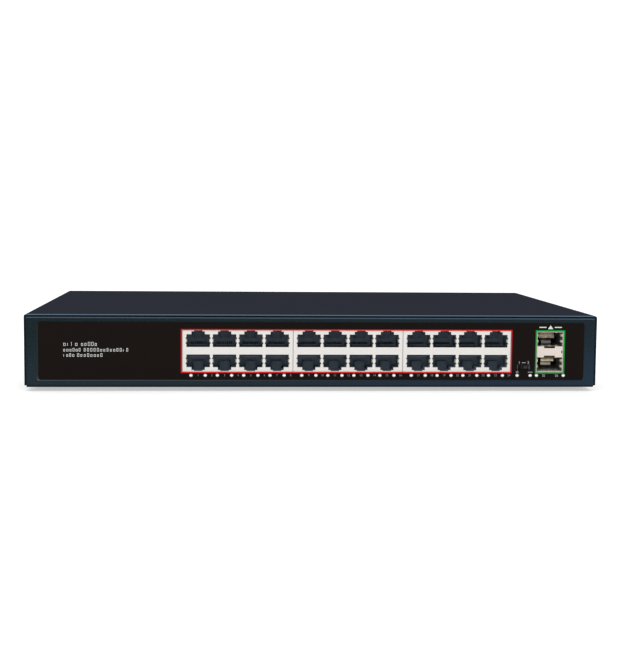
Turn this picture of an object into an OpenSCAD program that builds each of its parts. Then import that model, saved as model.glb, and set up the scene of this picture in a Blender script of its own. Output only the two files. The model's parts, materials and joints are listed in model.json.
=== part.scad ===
// One-rack-unit network switch: folded steel case, stacked copper jacks, a stacked pluggable-module
// cage, light pipes, a recessed mode slide switch, an internal power supply and a mains inlet.
// Frame: X to the right seen from the front, Y from front to back, Z up, Z = 0 where the feet stand.

/* [Case] */
// Width over the cover
case_w = 350; // [346:1:356]
// Height of the case without its feet
case_h = 44.4; // [44:0.1:46]
// Depth of the case, front face to rear face
case_d = 225; // [221:1:260]
// Thickness of the sheet steel
sheet = 1; // [0.8:0.1:1.2]
// Outer radius of the folds
fold_r = 1.6; // [1.3:0.1:2]
// Gap between the cover and the tray's front and rear panels
seam = 0.4; // [0.2:0.1:0.6]

/* [Front label] */
// Width of the overlay
label_w = 333.8; // [332:0.2:336]
// Height of the overlay
label_h = 35.3; // [35:0.1:36]
// Height of its lower edge above the case's underside
label_z = 4.6; // [4:0.1:4.8]
// Thickness of the overlay
label_t = 0.25; // [0.15:0.05:0.4]

/* [Copper jacks] */
// Blocks of jacks side by side
jack_blocks = 3; // [3]
// Columns of jacks in one block
jack_columns = 4; // [4]
// Width of one block
block_w = 67.4; // [66:0.1:67.5]
// Distance between columns
column_pitch = 16; // [15.5:0.1:16.2]
// X of the middle of the bank
bank_x = 20.8; // [20:0.05:21]
// Depth of a block behind the front face
block_d = 28; // [26:1:32]
// Width of a jack's mouth
mouth_w = 14.2; // [13:0.1:14.4]
// Height of a jack's mouth without its latch notch
mouth_h = 7.8; // [7.2:0.1:7.9]
// Height of the plain strip between the two rows
row_gap = 4.55; // [4.4:0.05:5.2]

/* [Module cage] */
// X of the middle of the cage
cage_x = 145.95; // [145.5:0.05:146.5]
// Outer width of the cage
cage_w = 16.9; // [16.5:0.1:17]
// Outer height of the cage
cage_h = 25.4; // [25.2:0.1:25.6]
// Depth of the cage
cage_d = 48; // [45:1:52]
// Clear height of one module slot
slot_h = 8.8; // [8.7:0.1:9]

/* [Lights and mode switch] */
// Radius of a light pipe's round end
pipe_r = 1.05; // [0.95:0.05:1.2]
// Height of the row of lights above the case's underside
light_z = 7.39; // [7.3:0.01:7.5]
// Half the distance between the two lights of a column
light_half = 4.33; // [4:0.01:4.5]
// X of the middle of the mode switch
mode_x = 129.67; // [129:0.01:130]
// Travel of the mode slider
mode_travel = 2.5; // [2:0.1:2.6]

/* [Rear] */
// X of the middle of the mains inlet
inlet_x = -135; // [-138:1:-133]
// X of the middle of the power switch
rocker_x = -92; // [-94:1:-88]
// Height of both above the case's underside
rear_z = 22; // [21:0.5:23]
// Angle of the rocker to either side of its middle
rocker_tilt = 10; // [8:1:12]

/* [Feet] */
// Height of a rubber foot
foot_h = 2.5; // [2:0.5:4]
// Radius of a rubber foot
foot_r = 8; // [6:0.5:10]

/* [Hidden] */
$fn = 48;
eps = 0.01;
gap = 0.1;
pipe_proud = 0.1;
front_proud = label_t + pipe_proud;

// Rocker: a V-shaped paddle on two stub pins
rocker_half = 7.9;
rocker_rise = 4.2;
rocker_dip = 2.9;
rocker_w = 10.6;
rocker_pin_r = 1;
rocker_inset = 1;
rocker_reach = norm([rocker_half, rocker_rise]);
rocker_corner = atan2(rocker_rise, rocker_half);
rear_proud = rocker_reach * sin(rocker_corner + rocker_tilt) - rocker_inset;

// The case is centred between what stands proud in front and behind
front_y = front_proud - (front_proud + case_d + rear_proud) / 2;
rear_y = front_y + case_d;

// Tray and cover
tray_w = case_w - 2 * sheet - 0.4;
panel_h = case_h - sheet - seam;
cover_low = 1.2;
return_flange = 9;
side_flange_h = 14;
ear_tab_h = 38;
ear_tab_d = 48;
corner_relief = 3.5;
ear_hole_r = 2.05;
ear_first_y = 12;
ear_step_y = 26;
ear_low_z = 11;
ear_step_z = 21;
cover_screw_y = [62, 118, 210];
cover_screw_z = 7.5;
vent_first_y = 78;
vent_step = 6;
vent_count = 9;
vent_w = 2.6;
vent_h = 20;
vent_z = 18;
vent_group_step = 66;

// Screws: one shank for all, then the radius and height of each kind's head
screw_r = 1.45;
screw_hole_r = 1.5;
screw_length = 6;
cover_screw_head = [2.7, 1.1];
board_screw_head = [2.7, 1.8];
inlet_screw_head = [3, 1.7];

// Feet
foot_x = 140;
foot_y = [36, 190];
foot_taper = 0.6;

// Jacks
block_low = 9.2;
block_h = 26.1;
block_gap = 0.3;
row_mid_z = 22.38;
shield_t = 0.3;
shield_set = 0.1;
notch_steps = [[8.1, 1.75], [5.2, 0.6]];
cavity_d = 13;
latch_block = [6.2, 6, 6];
latch_block_set = 9;
latch_block_low = 4.8;
comb_set = 2.4;
comb_d = 1.4;
comb_h = 1.5;
wire_count = 8;
wire_pitch = 1.19;
wire_w = 0.46;
wire_slot_w = 0.66;
wire_slot_set = 1.2;
wire_slot_low = -0.6;
tab_h = 3.2;
tab_half = 1;
tab_relief = 0.45;

// Windows in the front panel and the overlay, cut from before the face to behind the panel
cut_from = -1;
cut_d = 3;
jack_window_x = bank_x - 0.2;
jack_window_w = jack_blocks * block_w - 0.6;
jack_window_low = 9.56;
jack_window_h = 25.34;
cage_low = 9.3;
cage_wall = 0.5;
mode_window = [8.2, 3.3];
mode_z = 12.52;

// Boards
board_t = 1.6;
board_low = block_low - board_t;
board_size = [258, 113];
board_x = 37;
board_set = 7;
standoff_x = [-86, 40, 150];
standoff_y = [52, 114];
psu_size = [66, 120];
psu_x = -133;
psu_set = 76;
psu_standoff_dx = 28;
psu_standoff_dy = 54;
standoff_r = 3;
screw_hole_play = 0.1;

// Module cage
cage_inner_w = cage_w - 2 * cage_wall;
divider_h = cage_h - 2 * cage_wall - 2 * slot_h;
divider_low = cage_low + cage_wall + slot_h;
divider_play = 0.1;
latch_notch = [6.8, 1.1];
latch_notch_dx = -0.25;
key_notch = [0.8, 1.3];
socket_set = 37;
socket_size = [11.4, 9, 23];
socket_slot = [9.8, 7, 1.3];
socket_slot_low = 3.4;
belly_w = 12;
finger_x = [-5, -0.8, 3.6];
finger_w = 1.6;

// Light pipes, each with a round nose and a step down to a bar under the board
status_x = [125.69, 133.86, 137.82, 154.58];
pipe_back = 12;
pipe_w = 2;
pipe_step_set = 3;
pipe_bar_d = 3;
pipe_bar_low = 5.3;
pipe_bar_h = 1.4;
led_size = [1.6, 2, 0.8];

// Mode switch: tinned frame, body with three pins, slider with a knob
mode_frame = [9.3, 6.2, 5.4];
mode_frame_set = 1.1;
mode_frame_t = 0.3;
mode_slot = [6.9, 3.6];
mode_base = [8.6, 5.5, 5];
mode_base_set = 4.2;
mode_pin_dx = [-2.5, 0, 2.5];
mode_pin_set = 8.5;
mode_pin_w = 0.6;
mode_pin_below = 0.8;
slider_plate = [5, 1, 2.8];
slider_plate_set = 2.3;
slider_knob = [2.4, 2.4, 1.9];
slider_knob_set = 0.3;

// Parts on the main board
transformer_size = [13, 9, 6];
transformer_set = 34;
transformer_lead = [0.6, 1.5, 1];
transformer_pitch = 2.4;
phy_size = [14, 14, 1.5];
phy_set = 59;
phy_sink = [20, 9, 6];
switch_chip_size = [23, 23, 2.2];
switch_chip_at = [18, 96];
switch_sink = [38, 14, 9];
sink_base_h = 2.5;
sink_fin_t = 1.2;
flash_at = [62, 92];
flash_size = [5, 4, 1.6];
flash_pitch = 1.27;
crystal_at = [62, 80];
crystal_size = [6, 4.6, 3.4];
inductor_at = [[92, 98], [106, 98], [120, 98]];
inductor_size = [8, 8, 4.5];
inductor_dish = [2.6, 0.7];
small_can = [3.2, 11];
small_can_x = [86, 98, 110, 122, -60, -50];
small_can_set = 86;
can_vent = 0.3;

// Header and plug on each board, joined by three wires
dc_header_at = [[-72, 106], [-121, 82]];
dc_header_size = [10, 6, 9];
dc_header_wall = 1;
dc_header_floor = 1.5;
dc_plug_size = [7.8, 3.8, 10];
dc_plug_lift = 1.6;
dc_wire_r = 0.8;
dc_wire_pitch = 2.4;
dc_wire_rise = 6;
dc_wire_fan = 2;

// Power supply: places are from the middle of its board's front edge
psu_top = block_low;
insulator_t = 0.4;
insulator_margin = 3;
psu_transformer_at = [-4, 36];
bulk_can = [9, 27];
bulk_can_at = [16, 76];
output_can = [5, 20];
output_can_x = [-8, 4, 16];
output_can_set = 22;
psu_sink_x = [-24, 24];
psu_sink_set = 34;
psu_sink_size = [2, 34, 24];
transistor_size = [4.5, 10, 15];
transistor_set = 48;
transistor_lift = 4;
transistor_dx = 3.3;
transistor_pitch = 2.54;
choke_at = [-14, 88];
choke_lift = 9;
choke_ring = [5.8, 3];
x_cap_at = [-14, 98];
x_cap_size = [17.5, 8, 14];
fuse_at = [4, 106];
fuse_lift = 3;
fuse_tube = [2.6, 20];

// Rear: mains inlet, power switch and ground screw
inlet_size = [27.2, 16, 19.8];
inlet_flange = [50, 2.4, 22.5];
inlet_screw_dx = 20;
inlet_cavity = [24.4, 15, 16.8];
inlet_chamfer = 4.4;
inlet_pin = [2, 4];
inlet_pin_at = [[-7, -2], [7, -2], [0, 2]];
inlet_tab = 7;
switch_size = [12.8, 12, 19];
switch_flange = [15, 1.6, 21];
switch_cavity_d = 9.5;
switch_tab = [0.8, 7.5, 4.8];
switch_tab_dz = 5;
ground_x = -62;
ground_z = 10;
ground_screw_r = 1.95;
ground_screw_length = 7;
ground_washer = [4.4, 0.8];
ground_head = [3.5, 2.2];
hole_play = 0.05;

// Mains wiring
wire_bend = 1.15;
mains_wire_r = 1.1;
mains_landing = 114;
mains_landing_dx = [16, -8];
earth_at = [-72, case_d - inlet_size.y - 11];
earth_nut = [3.6, 2.6];
earth_wire_rise = 10;

// ---------- shared shapes ----------

// Puts children at x, depth behind the front face and height above the case's underside
module at(x, depth, height) {
    translate([x, front_y + depth, foot_h + height]) children();
}

// Puts children at x and height on the rear face, with +Y still to the back
module at_rear(x, height) {
    translate([x, rear_y, foot_h + height]) children();
}

// Extrudes a shape drawn in X and Z backwards from the front side, depth deep
module stand(depth) {
    translate([0, depth, 0]) rotate([90, 0, 0]) linear_extrude(depth) children();
}

// A rectangle with round corners, from its lower left corner
module round_rect(w, h, r) {
    translate([r, 0]) square([w - 2 * r, h]);
    translate([0, r]) square([w, h - 2 * r]);
    for (x = [r, w - r], y = [r, h - r])
        translate([x, y]) circle(r);
}

// A slot with round ends, centred in X, standing on its lower end
module slot_shape(w, h) {
    translate([-w / 2, w / 2]) square([w, h - w]);
    for (y = [w / 2, h - w / 2])
        translate([0, y]) circle(w / 2);
}

// A box centred in X, from its front lower edge
module block(size) {
    translate([-size.x / 2, 0, 0]) cube(size);
}

// A round wire through a list of points, a little fatter at its bends
module wire(points, r) {
    for (i = [0:len(points) - 2]) {
        step = points[i + 1] - points[i];
        length = norm(step);
        translate(points[i])
            rotate([0, acos(step.z / length), atan2(step.y, step.x)])
                cylinder(h = length, r = r, $fn = 24);
    }
    for (i = [1:len(points) - 2])
        translate(points[i]) sphere(r * wire_bend, $fn = 24);
}

// A cross cut into a face at Z = 0 that looks along +Z
module cross_cut(length, width, depth) {
    for (turn = [0, 90])
        rotate([0, 0, turn])
            translate([-length / 2, -width / 2, -depth]) cube([length, width, 2 * depth]);
}

// A countersunk screw below its head's face at Z = 0; head is its radius and height
module countersunk(head, extra) {
    translate([0, 0, -head[1]]) cylinder(h = head[1], r1 = screw_r + extra, r2 = head[0] + extra);
    translate([0, 0, -screw_length]) cylinder(h = screw_length, r = screw_r + extra);
}

// A round can with a cross-shaped vent in its top; size is its radius and height
module can(size) {
    difference() {
        cylinder(h = size[1], r = size[0]);
        translate([0, 0, size[1]]) cross_cut(1.2 * size[0], can_vent, can_vent);
    }
}

// X of a jack column counted from the left of its block
function column_x(block_index, column) =
    bank_x + (block_index - (jack_blocks - 1) / 2) * block_w
    + (column - (jack_columns - 1) / 2) * column_pitch;

function block_x(block_index) = bank_x + (block_index - (jack_blocks - 1) / 2) * block_w;

// X of a contact wire from the middle of its jack
function wire_x(i) = (i - (wire_count - 1) / 2) * wire_pitch;

// ---------- case ----------

module side_profile() {
    difference() {
        round_rect(case_d, panel_h, fold_r);
        translate([sheet, sheet]) round_rect(case_d - 2 * sheet, panel_h - 2 * sheet, fold_r - sheet);
        translate([return_flange, panel_h / 2]) square([case_d - 2 * return_flange, panel_h]);
    }
}

module tray_shell() {
    at(-tray_w / 2, 0, 0)
        rotate([90, 0, 90]) linear_extrude(tray_w) side_profile();
    for (side = [-1, 1]) {
        at(side * (tray_w - sheet) / 2, corner_relief, 0)
            block([sheet, case_d - 2 * corner_relief, side_flange_h]);
        at(side * (tray_w - sheet) / 2, corner_relief, 0)
            block([sheet, ear_tab_d - corner_relief, ear_tab_h]);
    }
}

module jack_window(margin) {
    at(jack_window_x, cut_from, jack_window_low - margin)
        block([jack_window_w + 2 * margin, cut_d, jack_window_h + 2 * margin]);
}

module cage_window(margin) {
    at(cage_x, cut_from, cage_low - margin)
        block([cage_w + 2 * margin, cut_d, cage_h + 2 * margin]);
}

module mode_window_cut() {
    at(mode_x, cut_from, mode_z - mode_window.y / 2)
        block([mode_window.x, cut_d, mode_window.y]);
}

// Puts children at every light
module at_lights(depth, height) {
    for (b = [0:jack_blocks - 1], c = [0:jack_columns - 1], side = [-1, 1])
        at(column_x(b, c) + side * light_half, depth, height) children();
    for (x = status_x) at(x, depth, height) children();
}

module light_holes(r) {
    at_lights(cut_from + cut_d, light_z) rotate([90, 0, 0]) cylinder(h = cut_d, r = r);
}

// Four holes a side for a rack ear, through the cover and the tray's tab
module ear_holes() {
    for (row = [0, 1], column = [0, 1])
        at(-case_w, ear_first_y + column * ear_step_y, ear_low_z + row * ear_step_z)
            rotate([0, 90, 0]) cylinder(h = 2 * case_w, r = ear_hole_r);
}

// An opening in the rear panel around a body, with a little play
module rear_opening(x, size) {
    at_rear(x, rear_z - size.z / 2 - 2 * hole_play)
        translate([0, -2 * sheet, 0])
            block([size.x + 4 * hole_play, 3 * sheet, size.z + 4 * hole_play]);
}

module rear_hole(x, height, r) {
    at_rear(x, height) rotate([90, 0, 0]) translate([0, 0, -sheet]) cylinder(h = 3 * sheet, r = r);
}

module rear_cutouts() {
    rear_opening(inlet_x, inlet_size);
    rear_opening(rocker_x, switch_size);
    for (side = [-1, 1]) rear_hole(inlet_x + side * inlet_screw_dx, rear_z, screw_hole_r);
    rear_hole(ground_x, ground_z, ground_screw_r + hole_play);
}

module base_tray() {
    color([0.12, 0.17, 0.2]) difference() {
        tray_shell();
        jack_window(0.4);
        cage_window(0.3);
        mode_window_cut();
        light_holes(pipe_r + 0.1);
        ear_holes();
        rear_cutouts();
        for (y = cover_screw_y)
            at(-case_w, y, cover_screw_z)
                rotate([0, 90, 0]) cylinder(h = 2 * case_w, r = screw_hole_r);
    }
}

module cover_profile() {
    difference() {
        round_rect(case_w, case_h, fold_r);
        translate([sheet, -sheet]) round_rect(case_w - 2 * sheet, case_h, fold_r - sheet);
        translate([-eps, -eps]) square([case_w + 2 * eps, cover_low]);
    }
}

module side_vents() {
    for (group = [0, 1], i = [0:vent_count - 1])
        at(-case_w, vent_first_y + group * vent_group_step + i * vent_step, vent_z)
            rotate([90, 0, 90]) linear_extrude(2 * case_w) slot_shape(vent_w, vent_h);
}

// Puts children at every cover screw, with +Z out of the side
module at_cover_screws(proud) {
    for (y = cover_screw_y, side = [0, 1])
        mirror([side, 0, 0])
            at(-case_w / 2 - proud, y, cover_screw_z) rotate([0, -90, 0]) children();
}

module top_cover() {
    color([0.18, 0.19, 0.22]) difference() {
        translate([-case_w / 2, front_y, foot_h]) stand(case_d) cover_profile();
        side_vents();
        ear_holes();
        at_cover_screws(eps) countersunk(cover_screw_head, hole_play);
    }
}

module front_label() {
    color([0.11, 0.09, 0.09]) difference() {
        at(0.2 - label_w / 2, -label_t, label_z)
            stand(label_t) round_rect(label_w, label_h, 1.5);
        jack_window(0);
        cage_window(-0.1);
        mode_window_cut();
        light_holes(pipe_r + hole_play);
    }
}

// Cross-recessed countersunk screws, three in each side of the cover
module cover_screws() {
    color([0.2, 0.2, 0.22]) at_cover_screws(0) difference() {
        countersunk(cover_screw_head, 0);
        cross_cut(3, 0.5, 0.7);
    }
}

module rubber_feet() {
    color([0.08, 0.08, 0.08])
        for (x = [-foot_x, foot_x], y = foot_y)
            at(x, y, -foot_h) cylinder(h = foot_h, r1 = foot_r - foot_taper, r2 = foot_r);
}

// ---------- main board ----------

module at_standoffs(height) {
    for (x = standoff_x, y = standoff_y) at(x, y, height) children();
    for (dx = [-1, 1], dy = [-1, 1])
        at(psu_x + dx * psu_standoff_dx, psu_set + psu_size.y / 2 + dy * psu_standoff_dy, height)
            children();
}

module board_standoffs() {
    color([0.75, 0.72, 0.6]) at_standoffs(sheet) difference() {
        cylinder(h = board_low - sheet, r = standoff_r, $fn = 6);
        translate([0, 0, -eps]) cylinder(h = board_low, r = screw_hole_r);
    }
}

module board_screws() {
    color([0.75, 0.75, 0.78]) at_standoffs(block_low) difference() {
        union() {
            cylinder(h = board_screw_head[1], r = board_screw_head[0]);
            translate([0, 0, -screw_length]) cylinder(h = screw_length + eps, r = screw_r);
        }
        translate([0, 0, board_screw_head[1]]) cross_cut(3, 0.6, 0.9);
    }
}

module board_screw_holes() {
    at_standoffs(0) cylinder(h = 2 * block_low, r = screw_hole_r + screw_hole_play);
}

module main_board() {
    color([0.05, 0.3, 0.18]) difference() {
        at(board_x, board_set, board_low) block([board_size.x, board_size.y, board_t]);
        board_screw_holes();
        mode_pins(2 * hole_play);
    }
}

// ---------- copper jacks ----------

// Outline of a jack's mouth, contacts at the bottom and latch notch at the top
module mouth_shape() {
    translate([-mouth_w / 2, 0]) square([mouth_w, mouth_h]);
    translate([-notch_steps[0].x / 2, 0])
        square([notch_steps[0].x, mouth_h + notch_steps[0].y]);
    translate([-notch_steps[1].x / 2, 0])
        square([notch_steps[1].x, mouth_h + notch_steps[0].y + notch_steps[1].y]);
}

// Puts children at every jack of a block; they are drawn for the upper row and mirrored below
module at_jacks(block_index) {
    for (c = [0:jack_columns - 1], row = [0, 1])
        at(column_x(block_index, c), 0, row_mid_z)
            mirror([0, 0, row]) translate([0, 0, row_gap / 2]) children();
}

module tab_profile() {
    polygon([[0, 0], [tab_relief, 0], [tab_relief, tab_h], [0.1, tab_h], [-0.5, 1.8]]);
}

module jack_shield(block_index) {
    x = block_x(block_index);
    w = block_w - block_gap;
    color([0.93, 0.92, 0.9]) {
        difference() {
            at(x, shield_set, block_low) block([w, block_d, block_h]);
            at(x, shield_set + shield_t, block_low - 1)
                block([w - 2 * shield_t, block_d - 2 * shield_t, block_h + 1 - shield_t]);
            at_jacks(block_index) translate([0, cut_from, 0]) stand(cut_d) mouth_shape();
            at_jacks(block_index)
                translate([0, cut_from, mouth_h / 2 - 2 * tab_half])
                    block([mouth_w + 2 * tab_relief, cut_d, 4 * tab_half]);
        }
        // Spring tabs folded back beside each mouth, bulging into it
        at_jacks(block_index)
            for (side = [0, 1])
                mirror([side, 0, 0]) translate([mouth_w / 2, shield_set, mouth_h / 2 - tab_half])
                    linear_extrude(2 * tab_half) tab_profile();
    }
}

module jack_housing(block_index) {
    inset = shield_t + 0.05;
    color([0.12, 0.15, 0.19]) difference() {
        at(block_x(block_index), shield_set + inset, block_low)
            block([block_w - block_gap - 2 * inset, block_d - 2 * inset, block_h - inset]);
        at_jacks(block_index) {
            difference() {
                stand(cavity_d) mouth_shape();
                // Block behind the latch notch
                translate([0, latch_block_set, latch_block_low]) block(latch_block);
            }
            translate([0, cut_from, mouth_h / 2 - 2 * tab_half])
                block([mouth_w + 2 * tab_relief + 2 * gap, tab_h - cut_from + 8 * gap, 4 * tab_half]);
            for (i = [0:wire_count - 1])
                translate([wire_x(i), wire_slot_set, wire_slot_low])
                    block([wire_slot_w, cavity_d - wire_slot_set, 1]);
        }
    }
    // Comb that keeps the contacts apart
    color([0.12, 0.15, 0.19]) at_jacks(block_index)
        for (i = [0:wire_count])
            translate([wire_x(i - 0.5), comb_set, wire_slot_low / 2])
                block([wire_pitch - wire_slot_w, comb_d, comb_h - wire_slot_low / 2]);
}

// Sprung contact seen from the side: along the floor, then up towards the back of the mouth
module contact_profile() {
    polygon([[1.6, -0.5], [3, -0.2], [10.6, 1.5], [12.9, 1.9],
             [12.9, 2.2], [10.5, 1.8], [2.9, 0.1], [1.6, -0.2]]);
}

module jack_contacts(block_index) {
    color([0.85, 0.68, 0.3]) at_jacks(block_index)
        for (i = [0:wire_count - 1])
            translate([wire_x(i) - wire_w / 2, 0, 0])
                rotate([90, 0, 90]) linear_extrude(wire_w) contact_profile();
}

module jack_shield_1() jack_shield(0);
module jack_shield_2() jack_shield(1);
module jack_shield_3() jack_shield(2);
module jack_housing_1() jack_housing(0);
module jack_housing_2() jack_housing(1);
module jack_housing_3() jack_housing(2);
module jack_contacts_1() jack_contacts(0);
module jack_contacts_2() jack_contacts(1);
module jack_contacts_3() jack_contacts(2);

// ---------- module cage ----------

module module_cage() {
    color([0.72, 0.7, 0.66]) difference() {
        at(cage_x, shield_set, cage_low) block([cage_w, cage_d, cage_h]);
        at(cage_x, 0, cage_low + cage_wall)
            block([cage_inner_w, cage_d - cage_wall, cage_h - 2 * cage_wall]);
        // Open belly over the sockets, so that they reach the board
        at(cage_x, socket_set - 1, cage_low - 1) block([belly_w, socket_size.y + 2, 2]);
    }
}

// Folded plate that closes the space between the two slots
module module_cage_divider() {
    color([0.9, 0.86, 0.8]) difference() {
        at(cage_x, shield_set, divider_low)
            block([cage_inner_w - divider_play, socket_set - 2, divider_h]);
        at(cage_x, shield_set + cage_wall, divider_low + cage_wall)
            block([cage_inner_w, socket_set, divider_h - 2 * cage_wall]);
        for (low = [divider_low - eps, divider_low + divider_h - latch_notch.y + eps])
            at(cage_x + latch_notch_dx, cut_from, low) block([latch_notch.x, cut_d, latch_notch.y]);
        at(cage_x + cage_inner_w / 2, cut_from, divider_low + (divider_h - key_notch.y) / 2)
            block([2 * key_notch.x, cut_d, key_notch.y]);
    }
}

module finger() {
    rotate([90, 0, 90]) linear_extrude(finger_w)
        polygon([[0.2, 0], [7, 0], [4, 0.14], [2, 0.14]]);
}

// Thin grounding springs around the mouth of each slot
module module_cage_fingers() {
    color([0.85, 0.83, 0.76])
        for (low = [cage_low + cage_wall, divider_low + divider_h], side = [0, 1])
            at(cage_x, 0, low + slot_h / 2) mirror([0, 0, side])
                for (x = finger_x)
                    translate([x, shield_set, -slot_h / 2]) finger();
}

module module_sockets() {
    color([0.1, 0.1, 0.1]) difference() {
        at(cage_x, socket_set, block_low) block(socket_size);
        for (low = [cage_low + cage_wall, divider_low + divider_h])
            at(cage_x, socket_set - 1, low + socket_slot_low) block(socket_slot);
    }
}

// ---------- lights and mode switch ----------

// One light pipe: round nose, then a step down to the bar under the board
module light_pipe(x) {
    nose_end = board_set - 0.5;
    at(x, nose_end, light_z)
        rotate([90, 0, 0]) cylinder(h = nose_end + front_proud, r = pipe_r);
    at(x, pipe_step_set, pipe_bar_low) block([pipe_w, pipe_back - pipe_step_set, pipe_bar_h]);
    at(x, pipe_step_set, pipe_bar_low)
        block([pipe_w, nose_end - pipe_step_set - 0.5, light_z - pipe_bar_low]);
}

module light_pipe_bar(from, to) {
    at((from + to) / 2, pipe_back - pipe_bar_d, pipe_bar_low)
        block([to - from + pipe_w, pipe_bar_d, pipe_bar_h]);
}

module light_pipes(block_index) {
    color([0.95, 0.95, 0.93]) {
        for (c = [0:jack_columns - 1], side = [-1, 1])
            light_pipe(column_x(block_index, c) + side * light_half);
        light_pipe_bar(column_x(block_index, 0) - light_half,
                       column_x(block_index, jack_columns - 1) + light_half);
    }
}

module light_pipes_1() light_pipes(0);
module light_pipes_2() light_pipes(1);
module light_pipes_3() light_pipes(2);

module light_pipes_status() {
    color([0.95, 0.95, 0.93]) {
        for (x = status_x) light_pipe(x);
        light_pipe_bar(status_x[0], status_x[3]);
    }
}

module board_leds() {
    color([0.95, 0.93, 0.8])
        at_lights(pipe_back - led_size.y - 0.6, board_low - led_size.z) block(led_size);
}

module mode_switch_frame() {
    color([0.78, 0.78, 0.8]) difference() {
        at(mode_x, mode_frame_set, block_low) block(mode_frame);
        at(mode_x, mode_frame_set + mode_frame_t, block_low - 1)
            block([mode_frame.x - 2 * mode_frame_t, mode_frame.y, mode_frame.z + 1 - mode_frame_t]);
        at(mode_x, 0, mode_z - mode_slot.y / 2) block([mode_slot.x, cut_d, mode_slot.y]);
    }
}

// The mode switch's pins, through the board and a little below it
module mode_pins(extra) {
    for (dx = mode_pin_dx)
        at(mode_x + dx, mode_pin_set - extra, board_low - mode_pin_below - extra)
            block([mode_pin_w + 2 * extra, mode_pin_w + 2 * extra, board_t + mode_pin_below + 2 * extra]);
}

module mode_switch_base() {
    color([0.1, 0.1, 0.11]) {
        at(mode_x, mode_base_set, block_low) block(mode_base);
        mode_pins(0);
    }
}

module mode_slider() {
    color([0.16, 0.16, 0.17]) at(mode_x + mode_travel / 2, 0, mode_z) {
        translate([0, slider_plate_set, -slider_plate.z / 2]) block(slider_plate);
        translate([0, slider_knob_set, -slider_knob.z / 2]) block(slider_knob);
    }
}

// ---------- parts on the main board ----------

module line_transformers() {
    color([0.1, 0.1, 0.1])
        for (b = [0:jack_blocks - 1], c = [0:jack_columns - 1])
            at(column_x(b, c), transformer_set, block_low) {
                translate([0, 0, 0.3]) block(transformer_size);
                for (i = [-2:2], y = [-transformer_lead.y + 0.5, transformer_size.y - 0.5])
                    translate([i * transformer_pitch, y, 0]) block(transformer_lead);
            }
}

module phy_chips() {
    color([0.08, 0.08, 0.08])
        for (b = [0:jack_blocks - 1]) at(block_x(b), phy_set, block_low) block(phy_size);
}

// A square base with straight fins along Y; size is its side, height and number of fins
module heatsink(size) {
    side = size[0];
    translate([0, -side / 2, 0]) block([side, side, sink_base_h]);
    for (i = [0:size[2] - 1])
        translate([(i / (size[2] - 1) - 0.5) * (side - sink_fin_t), -side / 2, 0])
            block([sink_fin_t, side, size[1]]);
}

module phy_heatsinks() {
    color([0.3, 0.3, 0.32])
        for (b = [0:jack_blocks - 1])
            at(block_x(b), phy_set + phy_size.y / 2, block_low + phy_size.z) heatsink(phy_sink);
}

module switch_chip() {
    color([0.08, 0.08, 0.08])
        at(switch_chip_at.x, switch_chip_at.y - switch_chip_size.y / 2, block_low) block(switch_chip_size);
}

module switch_heatsink() {
    color([0.3, 0.3, 0.32])
        at(switch_chip_at.x, switch_chip_at.y, block_low + switch_chip_size.z) heatsink(switch_sink);
}

module flash_chip() {
    color([0.08, 0.08, 0.08]) at(flash_at.x, flash_at.y, block_low) {
        translate([0, 0, 0.2]) block(flash_size);
        for (i = [-1.5:1.5], y = [-0.9, flash_size.y - 0.1])
            translate([i * flash_pitch, y, 0]) block([0.4, 1, 0.6]);
    }
}

// A metal can with round ends on a thin disc
module crystal() {
    r = crystal_size.y / 2;
    color([0.8, 0.8, 0.82]) at(crystal_at.x, crystal_at.y, block_low) {
        cylinder(h = 0.4, r = r + 0.3);
        for (side = [-1, 1])
            translate([side * crystal_size.x / 2, 0, 0]) cylinder(h = crystal_size.z, r = r);
        translate([0, -r, 0]) block(crystal_size);
    }
}

module power_inductors() {
    color([0.2, 0.2, 0.2])
        for (p = inductor_at) at(p.x, p.y, block_low) difference() {
            block(inductor_size);
            translate([0, inductor_size.y / 2, inductor_size.z - inductor_dish[1]])
                cylinder(h = 2, r = inductor_dish[0]);
        }
}

module board_capacitors() {
    color([0.1, 0.12, 0.3])
        for (x = small_can_x) at(x, small_can_set, block_low) can(small_can);
}

// White wire-to-board headers, one on each board, and the plugs in them
module dc_headers() {
    inner = dc_header_size - [2 * dc_header_wall, 2 * dc_header_wall, 0];
    color([0.92, 0.91, 0.86])
        for (p = dc_header_at) at(p.x, p.y, block_low) difference() {
            block(dc_header_size);
            translate([0, dc_header_wall, dc_header_floor]) block(inner);
        }
}

module dc_plugs() {
    color([0.88, 0.87, 0.82])
        for (p = dc_header_at)
            at(p.x, p.y + dc_header_wall + gap, block_low + dc_plug_lift) block(dc_plug_size);
}

// Three wires that fan out in height, so that they cross without touching
module dc_wires() {
    from = dc_header_at[0];
    to = dc_header_at[1];
    top = block_low + dc_plug_lift + dc_plug_size.z;
    middle = dc_header_size.y / 2;
    color([0.7, 0.1, 0.1]) at(0, middle, 0)
        for (i = [-1, 0, 1]) {
            x = [from.x + i * dc_wire_pitch, to.x - i * dc_wire_pitch];
            rise = dc_wire_rise + i * dc_wire_fan;
            wire([[x[0], from.y, top], [x[0], from.y, top + rise],
                  [x[1], to.y, top + rise], [x[1], to.y, top]], dc_wire_r);
        }
}

// ---------- power supply ----------

// Puts children at a place on the supply's board
module at_psu(place, lift) {
    at(psu_x + place.x, psu_set + place.y, psu_top + lift) children();
}

module psu_board() {
    color([0.55, 0.45, 0.2]) difference() {
        at(psu_x, psu_set, board_low) block([psu_size.x, psu_size.y, board_t]);
        board_screw_holes();
    }
}

module psu_insulator() {
    size = [psu_size.x + insulator_margin, psu_size.y + 2 * insulator_margin, insulator_t];
    color([0.85, 0.85, 0.8]) difference() {
        at(psu_x, psu_set - insulator_margin, sheet) block(size);
        at_standoffs(0) cylinder(h = 4, r = standoff_r + 4 * gap);
    }
}

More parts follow.
